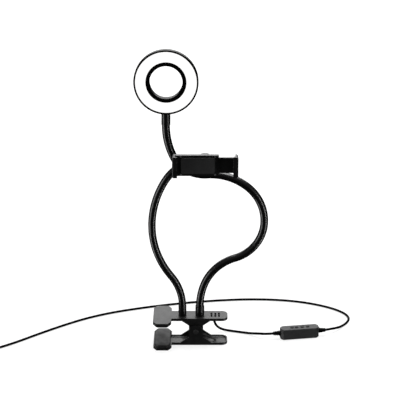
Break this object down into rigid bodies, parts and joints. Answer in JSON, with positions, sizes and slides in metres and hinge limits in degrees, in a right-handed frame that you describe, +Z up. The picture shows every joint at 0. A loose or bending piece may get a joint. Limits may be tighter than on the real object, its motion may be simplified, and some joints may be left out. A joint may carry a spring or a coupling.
{
  "type": "ring light",
  "caption": "Clip-on ring light: a spring clamp with flexible goosenecks that carry an LED ring and a phone holder, on a cord with a push-button controller.",
  "frame": {"origin": "underside of the clamp's lower jaw, below the pivot", "axes": "+Z up, +X to the viewer's right, towards the clamp's handles; the lit face and the phone look along -Y"},
  "size_m": [0.5517, 0.1916, 0.408],
  "materials": {
    "clamp_plastic": "moulded black plastic with a fine satin texture",
    "rubber_pad": "soft dark grey rubber",
    "ferrule_plastic": "satin black plastic",
    "steel": "plain zinc-plated steel",
    "black_steel": "black-oxide steel",
    "neck_sleeve": "smooth black PVC sleeve over a steel gooseneck",
    "ring_plastic": "satin black ABS",
    "diffuser": "milky white diffusing acrylic",
    "circuit_board": "white solder mask",
    "led": "yellow phosphor",
    "holder_plastic": "satin black plastic",
    "ball_plastic": "hard black plastic",
    "cord_sheath": "black PVC",
    "tie": "black hook-and-loop strap",
    "controller_plastic": "moulded black plastic",
    "button_plastic": "dark grey plastic",
    "plug_metal": "nickel-plated steel",
    "plug_tongue": "white plastic"
  },
  "bodies": {
    "upper_clamp": {"arm_nuts": "steel", "controller_base": "controller_plastic", "controller_board": "circuit_board", "controller_lid": "controller_plastic", "controller_reliefs": "cord_sheath", "controller_screws": "steel", "cord_coil": "cord_sheath", "cord_gland": "cord_sheath", "cord_main": "cord_sheath", "cord_tail": "cord_sheath", "cord_tie": "tie", "cord_to_controller": "cord_sheath", "holder_arm_ferrule": "ferrule_plastic", "holder_neck_1": "neck_sleeve", "inner_lead": "cord_sheath", "ring_arm_ferrule": "ferrule_plastic", "ring_neck_1": "neck_sleeve", "torsion_spring": "black_steel", "upper_jaw": "clamp_plastic", "upper_pad": "rubber_pad", "usb_plug_grip": "cord_sheath", "usb_plug_shell": "plug_metal", "usb_plug_tongue": "plug_tongue"},
    "lower_clamp": {"lower_jaw": "clamp_plastic", "lower_pad": "rubber_pad", "pivot_pin": "black_steel", "pivot_clip": "black_steel"},
    "ring_link_2": {"ring_neck_2": "neck_sleeve"},
    "ring_link_3": {"ring_neck_3": "neck_sleeve"},
    "ring_link_4": {"ring_neck_4": "neck_sleeve"},
    "ring_link_5": {"ring_neck_5": "neck_sleeve"},
    "ring_link_6": {"ring_neck_6": "neck_sleeve"},
    "ring_head": {"ring_neck_7": "neck_sleeve", "ring_stem": "ferrule_plastic", "ring_housing": "ring_plastic", "inner_bezel": "ring_plastic", "diffuser": "diffuser", "led_board": "circuit_board", "board_screws": "steel", "leds": "led"},
    "holder_link_2": {"holder_neck_2": "neck_sleeve"},
    "holder_link_3": {"holder_neck_3": "neck_sleeve"},
    "holder_link_4": {"holder_neck_4": "neck_sleeve"},
    "ball_end": {"holder_neck_5": "neck_sleeve", "ball_stud": "ball_plastic"},
    "socket_liner": {"ball_liner": "ball_plastic"},
    "socket_nut": {"lock_nut": "holder_plastic"},
    "holder": {"holder_body": "holder_plastic", "holder_cover": "holder_plastic", "cover_screws": "steel", "fixed_jaw_pad": "rubber_pad", "back_pad": "rubber_pad", "slide_spring": "steel"},
    "holder_slider": {"slider": "holder_plastic", "slider_pad": "rubber_pad"},
    "key_1": {"button_1": "button_plastic"},
    "key_2": {"button_2": "button_plastic"},
    "key_3": {"button_3": "button_plastic"},
    "key_4": {"button_4": "button_plastic"}
  },
  "joints": [
    {"name": "clamp_hinge", "type": "hinge", "parent": "upper_clamp", "child": "lower_clamp", "pos_m": [0, 0, 0.0205], "axis": [0, -1, 0], "range_deg": [-25, 38], "stiffness_Nm_per_rad": 4, "deforming": ["torsion_spring"]},
    {"name": "ring_bend_1", "type": "hinge", "parent": "upper_clamp", "child": "ring_link_2", "pos_m": [0.01111, 0.00118, 0.08665], "axis": [-0.0136, 0.9972, -0.0731], "range_deg": [-18, 18]},
    {"name": "ring_bend_2", "type": "hinge", "parent": "ring_link_2", "child": "ring_link_3", "pos_m": [0.0526, 0.00498, 0.12478], "axis": [0.2834, -0.073, -0.9562], "range_deg": [-5, 18]},
    {"name": "ring_bend_3", "type": "hinge", "parent": "ring_link_3", "child": "ring_link_4", "pos_m": [0.09099, 0.01003, 0.17362], "axis": [-0.0249, 0.9962, -0.0835], "range_deg": [-15, 18]},
    {"name": "ring_bend_4", "type": "hinge", "parent": "ring_link_4", "child": "ring_link_5", "pos_m": [0.06805, 0.01477, 0.22382], "axis": [0.623, 0.0987, 0.7759], "range_deg": [-18, 2]},
    {"name": "ring_bend_5", "type": "hinge", "parent": "ring_link_5", "child": "ring_link_6", "pos_m": [0.01488, 0.01947, 0.2394], "axis": [0.1035, 0.9829, -0.1522], "range_deg": [-18, 18]},
    {"name": "ring_bend_6", "type": "hinge", "parent": "ring_link_6", "child": "ring_head", "pos_m": [-0.02776, 0.0168, 0.26286], "axis": [0.8575, 0.22, 0.465], "range_deg": [-18, 18]},
    {"name": "holder_bend_1", "type": "hinge", "parent": "upper_clamp", "child": "holder_link_2", "pos_m": [-0.03381, 0.00027, 0.10051], "axis": [0.0036, 0.9999, -0.0106], "range_deg": [-18, 18]},
    {"name": "holder_bend_2", "type": "hinge", "parent": "holder_link_2", "child": "holder_link_3", "pos_m": [-0.05805, 0.00069, 0.16712], "axis": [0.999, 0, 0.0436], "range_deg": [-2, 18]},
    {"name": "holder_bend_3", "type": "hinge", "parent": "holder_link_3", "child": "holder_link_4", "pos_m": [-0.04076, 0.0011, 0.2365], "axis": [-0.0024, 0.9999, -0.0104], "range_deg": [-18, 18]},
    {"name": "holder_bend_4", "type": "hinge", "parent": "holder_link_4", "child": "ball_end", "pos_m": [-0.00658, 0.00109, 0.26519], "axis": [0.3505, -0.0031, -0.9366], "range_deg": [-18, 18]},
    {"name": "ball_pan", "type": "hinge", "parent": "ball_end", "child": "socket_liner", "pos_m": [0.01183, -0.04032, 0.27801], "axis": [-0.0001, 0.1426, 0.9898], "range_deg": [-20, 20]},
    {"name": "ball_tilt", "type": "hinge", "parent": "socket_liner", "child": "socket_nut", "pos_m": [0.01183, -0.04032, 0.27801], "axis": [1, 0.0006, 0], "range_deg": [-20, 20]},
    {"name": "ball_spin", "type": "hinge", "parent": "socket_nut", "child": "holder", "pos_m": [0.01183, -0.04032, 0.27801], "axis": [0.0006, -0.9898, 0.1426], "continuous": true},
    {"name": "jaw_slide", "type": "slide", "parent": "holder", "child": "holder_slider", "axis": [1, 0.0006, 0], "range_m": [-0.018, 0.012], "stiffness_N_per_m": 150, "deforming": ["slide_spring"]},
    {"name": "key_1_press", "type": "slide", "parent": "upper_clamp", "child": "key_1", "axis": [0, 0, -1], "range_m": [0, 0.0005], "stiffness_N_per_m": 400},
    {"name": "key_2_press", "type": "slide", "parent": "upper_clamp", "child": "key_2", "axis": [0, 0, -1], "range_m": [0, 0.0005], "stiffness_N_per_m": 400},
    {"name": "key_3_press", "type": "slide", "parent": "upper_clamp", "child": "key_3", "axis": [0, 0, -1], "range_m": [0, 0.0005], "stiffness_N_per_m": 400},
    {"name": "key_4_press", "type": "slide", "parent": "upper_clamp", "child": "key_4", "axis": [0, 0, -1], "range_m": [0, 0.0005], "stiffness_N_per_m": 400}
  ]
}
